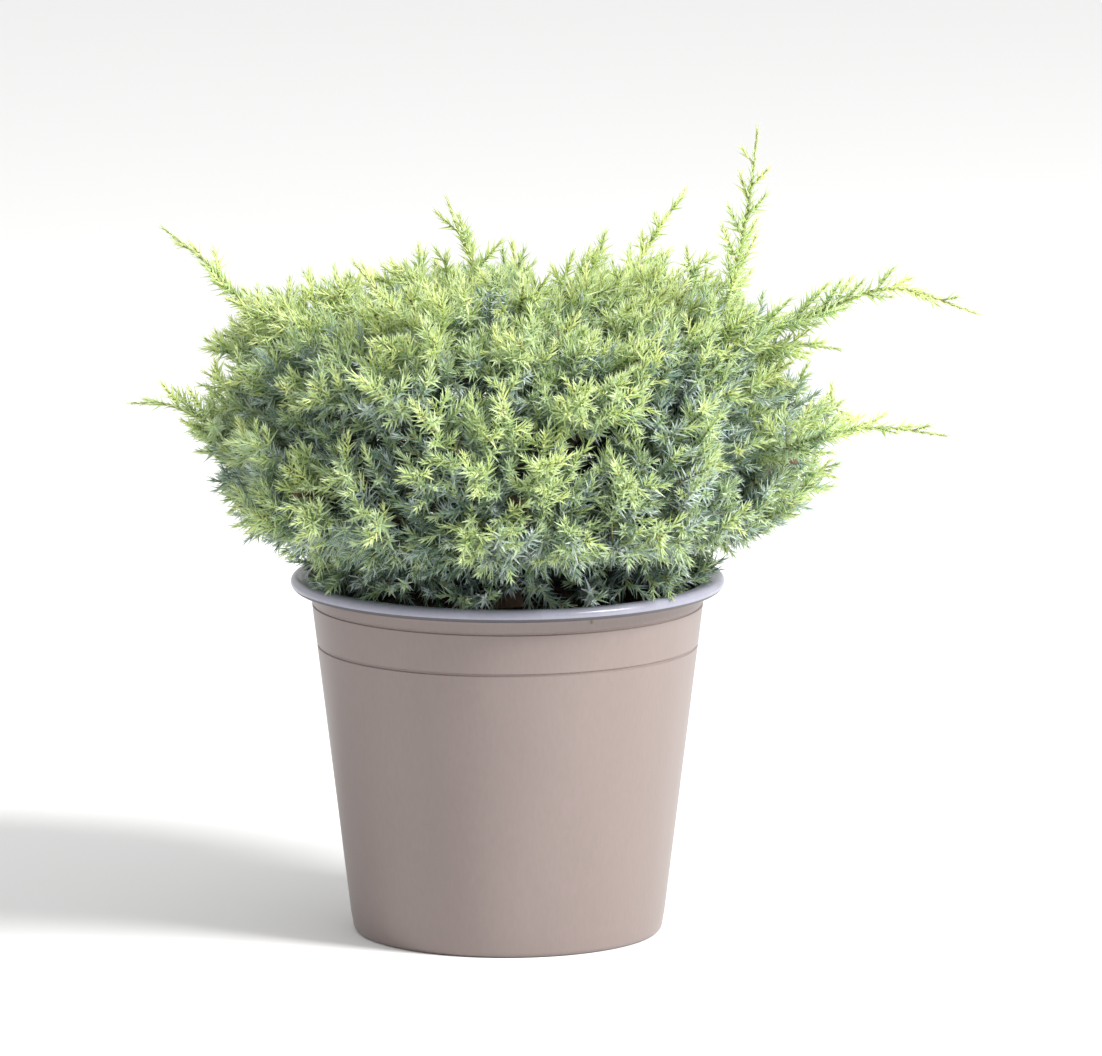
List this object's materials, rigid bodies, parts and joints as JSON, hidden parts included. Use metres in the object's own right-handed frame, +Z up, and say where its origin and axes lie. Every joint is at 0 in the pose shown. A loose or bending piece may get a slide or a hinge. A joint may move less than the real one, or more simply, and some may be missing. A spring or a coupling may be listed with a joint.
{
  "type": "potted holger flaky juniper",
  "caption": "Low, dense, spreading juniper with short awl-shaped needles and a few long arching shoots, in a round tapered nursery pot.",
  "frame": {"origin": "centre of the pot's flat underside", "axes": "+Z up along the pot's axis, +X towards the side that the longest arching shoot leans to, -Y towards the front"},
  "size_m": [0.2549, 0.196, 0.2459],
  "materials": {
    "pot": "semi-gloss taupe plastic",
    "soil": "dark crumbly peat",
    "bark": "rough brown bark",
    "foliage": "satin green needles"
  },
  "bodies": {
    "root": {"pot": "pot", "soil": "soil", "trunk": "bark", "bough_low_1": "bark", "bough_low_2": "bark", "bough_low_3": "bark", "bough_low_4": "bark", "bough_low_5": "bark", "bough_low_6": "bark", "bough_low_7": "bark", "bough_low_8": "bark", "bough_mid_1": "bark", "bough_mid_2": "bark", "bough_mid_3": "bark", "bough_mid_4": "bark", "bough_mid_5": "bark", "bough_mid_6": "bark", "bough_top_1": "bark", "bough_top_2": "bark", "bough_top_3": "bark", "foliage_low_1": "foliage", "foliage_low_2": "foliage", "foliage_low_3": "foliage", "foliage_low_4": "foliage", "foliage_low_5": "foliage", "foliage_low_6": "foliage", "foliage_low_7": "foliage", "foliage_low_8": "foliage", "foliage_mid_1": "foliage", "foliage_mid_2": "foliage", "foliage_mid_3": "foliage", "foliage_mid_4": "foliage", "foliage_mid_5": "foliage", "foliage_mid_6": "foliage", "foliage_top_1": "foliage", "foliage_top_2": "foliage", "foliage_top_3": "foliage"}
  },
  "joints": []
}
